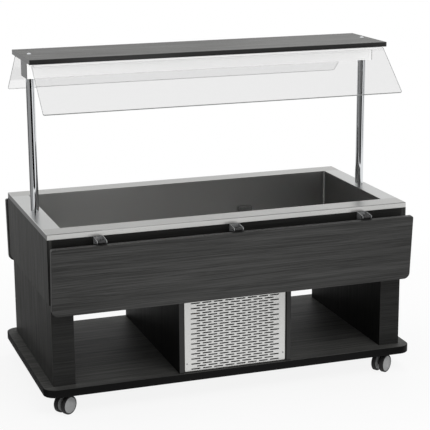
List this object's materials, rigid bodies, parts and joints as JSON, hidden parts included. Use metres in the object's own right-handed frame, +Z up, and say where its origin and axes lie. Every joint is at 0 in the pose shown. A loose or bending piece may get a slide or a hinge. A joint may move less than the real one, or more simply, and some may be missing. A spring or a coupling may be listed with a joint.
{
  "type": "mobile refrigerated salad bar",
  "caption": "Long cabinet on casters with an open cold well, drop leaves on both sides, and a lit canopy with sloped sneeze glass on posts.",
  "frame": {"origin": "centre of the overall box, on the floor", "axes": "+X along the length, to the right of someone who faces the front grille; +Y from the front to the rear; +Z up"},
  "size_m": [1.562, 0.8946, 1.366],
  "materials": {
    "laminate": "satin wood-grain laminate",
    "raw_board": "dark plywood",
    "stainless": "brushed",
    "chromed_tube": "polished",
    "zinc_plated": "zinc plated",
    "white_sheet": "white gloss",
    "grey_cap": "dark grey",
    "diffuser": "opal",
    "lamp_strip": "white circuit strip",
    "clear_glass": "clear",
    "rail_alloy": "anodised",
    "foam": "rigid foam",
    "copper": "bare tube",
    "brass_valve": "nickelled",
    "red_handle": "coated",
    "black_shell": "black enamel",
    "fin_alloy": "fins and sheet shroud",
    "motor_metal": "grey",
    "fan_plastic": "moulded",
    "black_plastic": "moulded",
    "green_rocker": "moulded",
    "black_rocker": "moulded",
    "wheel": "black tread on a grey moulded disc"
  },
  "bodies": {
    "cabinet": {"base_board": "laminate", "left_wall": "laminate", "right_wall": "laminate", "bay_panels": "laminate", "grille_battens": "raw_board", "front_grille": "stainless", "rear_grille": "stainless", "control_panel": "stainless", "thermostat": "black_plastic", "switch_frames": "black_plastic", "cable_gland": "black_plastic", "front_apron": "laminate", "rear_apron": "laminate", "left_end_panel": "laminate", "right_end_panel": "laminate", "well_base": "raw_board", "steel_rim": "stainless", "well_liner": "stainless", "insulation": "foam", "copper_circuit": "copper", "drain_valve": "brass_valve", "drain_strainer": "stainless", "probe_cover": "black_plastic", "posts": "chromed_tube", "post_fixings": "chromed_tube", "canopy_board": "laminate", "lamp_housing": "white_sheet", "lamp_end_caps": "grey_cap", "led_strip": "lamp_strip", "lamp_diffuser": "diffuser", "front_glass": "clear_glass", "rear_glass": "clear_glass", "glass_rails": "rail_alloy", "compressor": "black_shell", "condenser": "fin_alloy", "fan_motor": "motor_metal", "caster_plates": "zinc_plated", "hinge_brackets": "zinc_plated", "hinge_pins": "zinc_plated", "panel_screws": "zinc_plated"},
    "front_flap": {"front_leaf": "laminate", "front_hinge_plates": "zinc_plated"},
    "rear_flap": {"rear_leaf": "laminate", "rear_hinge_plates": "zinc_plated"},
    "fan": {"fan_blades": "fan_plastic"},
    "drain_handle": {"drain_lever": "red_handle"},
    "power_switch": {"power_rocker": "green_rocker"},
    "light_switch": {"light_rocker": "black_rocker"},
    "front_left_caster_body": {"front_left_caster": "black_plastic"},
    "front_left_a": {"front_left_wheel_a": "wheel"},
    "front_left_b": {"front_left_wheel_b": "wheel"},
    "front_right_caster_body": {"front_right_caster": "black_plastic"},
    "front_right_a": {"front_right_wheel_a": "wheel"},
    "front_right_b": {"front_right_wheel_b": "wheel"},
    "rear_left_caster_body": {"rear_left_caster": "black_plastic"},
    "rear_left_a": {"rear_left_wheel_a": "wheel"},
    "rear_left_b": {"rear_left_wheel_b": "wheel"},
    "rear_right_caster_body": {"rear_right_caster": "black_plastic"},
    "rear_right_a": {"rear_right_wheel_a": "wheel"},
    "rear_right_b": {"rear_right_wheel_b": "wheel"}
  },
  "joints": [
    {"name": "front_leaf_hinge", "type": "hinge", "parent": "cabinet", "child": "front_flap", "pos_m": [0, -0.426, 0.694], "axis": [-1, 0, 0], "range_deg": [-1, 94.5]},
    {"name": "rear_leaf_hinge", "type": "hinge", "parent": "cabinet", "child": "rear_flap", "pos_m": [0, 0.426, 0.694], "axis": [1, 0, 0], "range_deg": [-1, 94.5]},
    {"name": "fan_spin", "type": "hinge", "parent": "cabinet", "child": "fan", "pos_m": [0, -0.268, 0.248], "axis": [0, 1, 0], "continuous": true},
    {"name": "drain_lever_turn", "type": "hinge", "parent": "cabinet", "child": "drain_handle", "pos_m": [0.3015, 0.176, 0.415], "axis": [0, 1, 0], "range_deg": [0, 90]},
    {"name": "power_rocker_tilt", "type": "hinge", "parent": "cabinet", "child": "power_switch", "pos_m": [0.03, 0.386, 0.371], "axis": [1, 0, 0], "range_deg": [-14, 0]},
    {"name": "light_rocker_tilt", "type": "hinge", "parent": "cabinet", "child": "light_switch", "pos_m": [0.078, 0.386, 0.371], "axis": [1, 0, 0], "range_deg": [-14, 0]},
    {"name": "front_left_swivel", "type": "hinge", "parent": "cabinet", "child": "front_left_caster_body", "pos_m": [-0.68, -0.349, 0.06], "axis": [0, 0, 1], "continuous": true},
    {"name": "front_left_wheel_a_spin", "type": "hinge", "parent": "front_left_caster_body", "child": "front_left_a", "pos_m": [-0.69658, -0.36018, 0.0375], "axis": [0.5592, -0.829, 0], "continuous": true},
    {"name": "front_left_wheel_b_spin", "type": "hinge", "parent": "front_left_caster_body", "child": "front_left_b", "pos_m": [-0.69658, -0.36018, 0.0375], "axis": [0.5592, -0.829, 0], "continuous": true},
    {"name": "front_right_swivel", "type": "hinge", "parent": "cabinet", "child": "front_right_caster_body", "pos_m": [0.68, -0.349, 0.06], "axis": [0, 0, 1], "continuous": true},
    {"name": "front_right_wheel_a_spin", "type": "hinge", "parent": "front_right_caster_body", "child": "front_right_a", "pos_m": [0.66342, -0.36018, 0.0375], "axis": [0.5592, -0.829, 0], "continuous": true},
    {"name": "front_right_wheel_b_spin", "type": "hinge", "parent": "front_right_caster_body", "child": "front_right_b", "pos_m": [0.66342, -0.36018, 0.0375], "axis": [0.5592, -0.829, 0], "continuous": true},
    {"name": "rear_left_swivel", "type": "hinge", "parent": "cabinet", "child": "rear_left_caster_body", "pos_m": [-0.68, 0.349, 0.06], "axis": [0, 0, 1], "continuous": true},
    {"name": "rear_left_wheel_a_spin", "type": "hinge", "parent": "rear_left_caster_body", "child": "rear_left_a", "pos_m": [-0.69658, 0.33782, 0.0375], "axis": [0.5592, -0.829, 0], "continuous": true},
    {"name": "rear_left_wheel_b_spin", "type": "hinge", "parent": "rear_left_caster_body", "child": "rear_left_b", "pos_m": [-0.69658, 0.33782, 0.0375], "axis": [0.5592, -0.829, 0], "continuous": true},
    {"name": "rear_right_swivel", "type": "hinge", "parent": "cabinet", "child": "rear_right_caster_body", "pos_m": [0.68, 0.349, 0.06], "axis": [0, 0, 1], "continuous": true},
    {"name": "rear_right_wheel_a_spin", "type": "hinge", "parent": "rear_right_caster_body", "child": "rear_right_a", "pos_m": [0.66342, 0.33782, 0.0375], "axis": [0.5592, -0.829, 0], "continuous": true},
    {"name": "rear_right_wheel_b_spin", "type": "hinge", "parent": "rear_right_caster_body", "child": "rear_right_b", "pos_m": [0.66342, 0.33782, 0.0375], "axis": [0.5592, -0.829, 0], "continuous": true}
  ]
}
